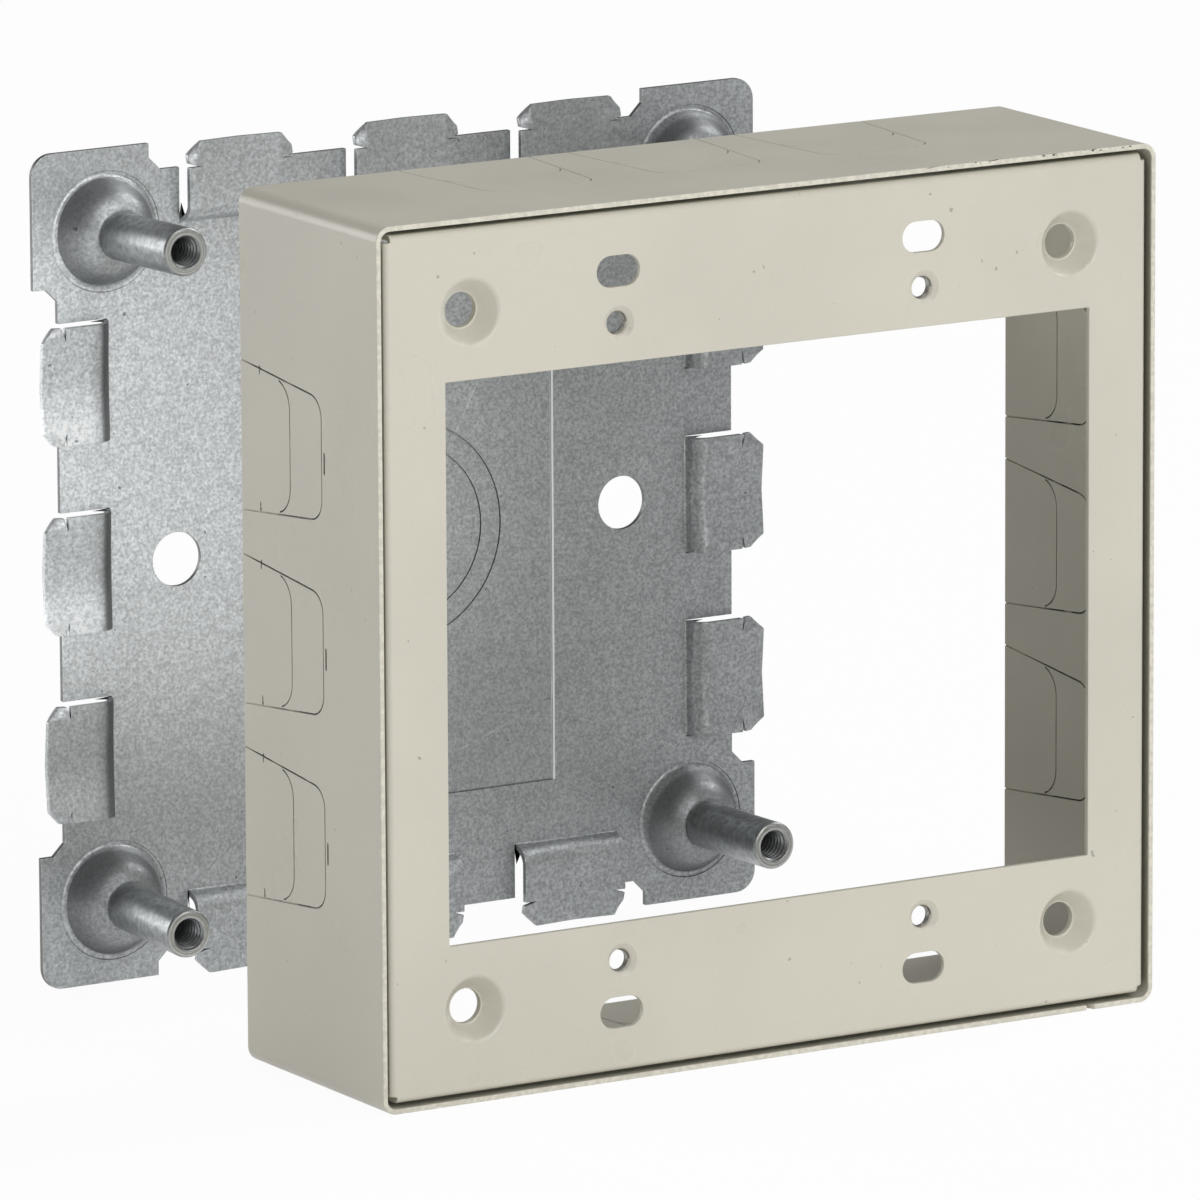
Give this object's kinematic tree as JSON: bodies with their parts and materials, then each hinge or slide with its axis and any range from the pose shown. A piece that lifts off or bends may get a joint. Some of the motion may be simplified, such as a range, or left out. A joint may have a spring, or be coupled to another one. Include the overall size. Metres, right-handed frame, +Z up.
{
  "type": "raceway outlet box",
  "caption": "Surface raceway outlet box for two wiring devices: painted steel box with a rectangular device opening, standing in front of its galvanised base plate with tapped posts.",
  "frame": {"origin": "centre of the box's bottom face, half way between its front rim and its rear edge", "axes": "+X across the box to the right as seen from the front, +Y from the front plate back to the base plate, +Z up"},
  "size_m": [0.1214, 0.0839, 0.1149],
  "materials": {
    "ivory_paint": "semi-gloss ivory enamel over steel",
    "galvanised": "galvanised sheet, dull",
    "turned_steel": "turned and zinc plated"
  },
  "bodies": {
    "root": {"side_band": "ivory_paint", "front_plate": "ivory_paint", "base_plate": "galvanised", "post_top_left": "turned_steel", "post_top_right": "turned_steel", "post_bottom_left": "turned_steel", "post_bottom_right": "turned_steel"}
  },
  "joints": []
}
